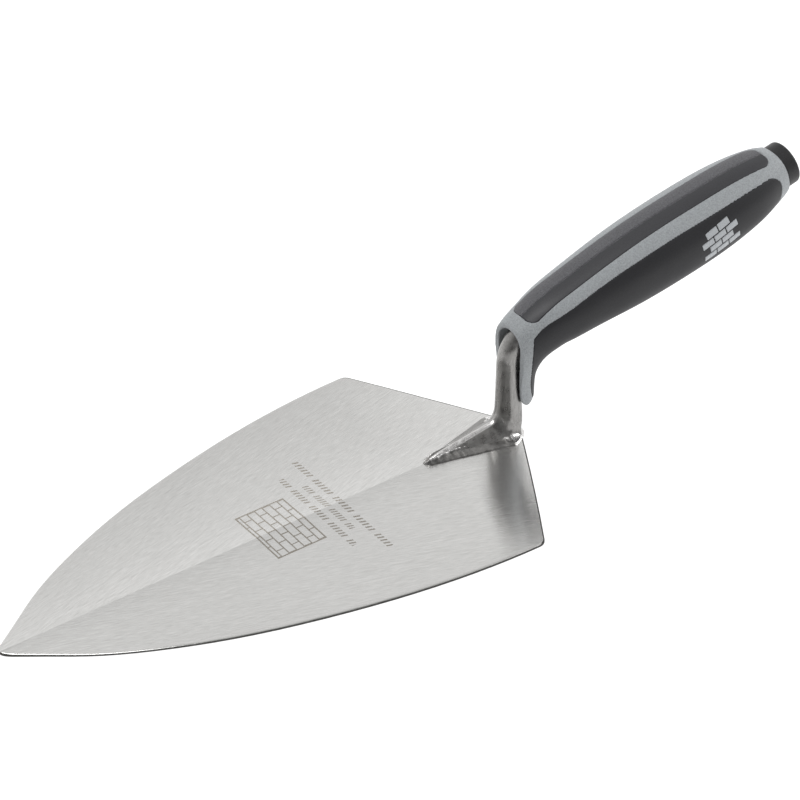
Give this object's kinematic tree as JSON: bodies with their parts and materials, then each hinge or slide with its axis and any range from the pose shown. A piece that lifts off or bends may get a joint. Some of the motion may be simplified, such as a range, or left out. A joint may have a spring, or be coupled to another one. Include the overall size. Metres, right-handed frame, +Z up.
{
  "type": "brick trowel",
  "caption": "Bricklaying trowel: broad leaf-shaped steel blade with angled shoulders, round cranked shank welded on at the heel, and a grey and black two-material grip.",
  "frame": {"origin": "on the flat underside of the blade, straight under the axis of the shank's neck", "axes": "+X from the blade's tip towards the handle's butt, +Y to the left when looking along +X, +Z up, away from the blade's flat underside"},
  "size_m": [0.3978, 0.141, 0.0882],
  "materials": {
    "blade_steel": "ground stainless steel, brushed in two directions",
    "shank_steel": "tumbled forged stainless steel",
    "weld_metal": "bright weld metal, lightly blended",
    "core_plastic": "fine-grained hard plastic, mid grey",
    "soft_pad": "soft-touch elastomer, charcoal, fine grain",
    "soft_wrap": "soft-touch elastomer, black, satin",
    "badge_plastic": "light grey plastic inlay",
    "cap_plastic": "black plastic, satin"
  },
  "bodies": {
    "root": {"blade": "blade_steel", "shank": "shank_steel", "weld_bead": "weld_metal", "handle_core": "core_plastic", "grip_top_pad": "soft_pad", "grip_side_wrap": "soft_wrap", "side_badges": "badge_plastic", "end_cap": "cap_plastic"}
  },
  "joints": []
}
